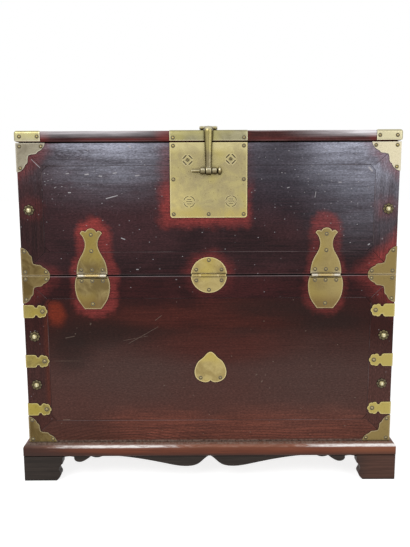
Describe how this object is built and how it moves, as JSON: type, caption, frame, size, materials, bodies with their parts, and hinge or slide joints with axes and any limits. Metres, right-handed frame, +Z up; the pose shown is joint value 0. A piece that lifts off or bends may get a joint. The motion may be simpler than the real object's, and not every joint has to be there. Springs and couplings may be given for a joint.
{
  "type": "korean bandaji chest",
  "caption": "Lacquered wooden chest on bracket feet, its upper front dropping forward on brass hinges, with a hasp, a lock pin and aged brass corner fittings.",
  "frame": {"origin": "on the floor, under the middle of the whole object's bounding box, which includes the lock that stands out in front", "axes": "+X to the viewer's right along the chest's width, -Y out of the front where the door drops open, +Z up"},
  "size_m": [0.908, 0.4514, 0.8503],
  "materials": {
    "top_wood": "dark red-brown lacquer, satin, worn",
    "frame_wood": "near-black lacquer, satin, scratched",
    "panel_wood": "near-black lacquer, satin, scratched",
    "side_wood": "near-black lacquer, satin",
    "base_wood": "dark red-brown lacquer, satin",
    "plain_wood": "bare softwood, matt",
    "sheet_brass": "aged, brushed, dulled",
    "lock_brass": "aged, mottled",
    "cast_brass": "aged, worn bright on its edges",
    "nail_brass": "aged, domed, dark in the seats"
  },
  "bodies": {
    "case": {"apron_front": "base_wood", "apron_left": "base_wood", "apron_right": "base_wood", "back_board_1": "plain_wood", "back_board_2": "plain_wood", "back_board_3": "plain_wood", "base_rail_back": "plain_wood", "base_rail_front": "base_wood", "base_rail_left": "base_wood", "base_rail_right": "base_wood", "bottom_board": "plain_wood", "case_corner_plate_left": "sheet_brass", "case_corner_plate_right": "sheet_brass", "case_mid_plate_left": "sheet_brass", "case_mid_plate_right": "sheet_brass", "case_nails": "nail_brass", "case_rosettes": "sheet_brass", "corner_straps_left": "sheet_brass", "corner_straps_right": "sheet_brass", "door_stop_rail": "plain_wood", "foot_back_left": "base_wood", "foot_back_right": "base_wood", "foot_front_left": "base_wood", "foot_front_right": "base_wood", "front_panel": "panel_wood", "front_rail_bottom": "frame_wood", "front_rail_top": "frame_wood", "front_stile_left": "frame_wood", "front_stile_right": "frame_wood", "hasp_lugs": "cast_brass", "hinge_leaf_lower_centre": "sheet_brass", "hinge_leaf_lower_left": "sheet_brass", "hinge_leaf_lower_right": "sheet_brass", "lock_strip": "lock_brass", "pivot_pins": "cast_brass", "side_board_left": "side_wood", "side_board_right": "side_wood", "striking_plate": "sheet_brass", "top_board": "top_wood", "top_cap_left": "sheet_brass", "top_cap_right": "sheet_brass"},
    "door": {"door_corner_plate_left": "sheet_brass", "door_corner_plate_right": "sheet_brass", "door_mid_plate_left": "sheet_brass", "door_mid_plate_right": "sheet_brass", "door_nails": "nail_brass", "door_panel": "panel_wood", "door_rail_bottom": "frame_wood", "door_rail_top": "frame_wood", "door_rosettes": "sheet_brass", "door_stile_left": "frame_wood", "door_stile_right": "frame_wood", "hinge_leaf_upper_centre": "sheet_brass", "hinge_leaf_upper_left": "sheet_brass", "hinge_leaf_upper_right": "sheet_brass", "lock_plate": "lock_brass", "staple_left": "cast_brass", "staple_right": "cast_brass"},
    "hasp": {"hasp": "cast_brass"},
    "lock_pin": {"lock_pin": "cast_brass"}
  },
  "joints": [
    {"name": "door_hinge", "type": "hinge", "parent": "case", "child": "door", "pos_m": [0, -0.20785, 0.507], "axis": [1, 0, 0], "range_deg": [0, 175]},
    {"name": "hasp_pivot", "type": "hinge", "parent": "case", "child": "hasp", "pos_m": [0, -0.19875, 0.8459], "axis": [-1, 0, 0], "range_deg": [0, 178]},
    {"name": "lock_pin_slide", "type": "slide", "parent": "door", "child": "lock_pin", "axis": [1, 0, 0], "range_m": [0, 0.056]}
  ]
}
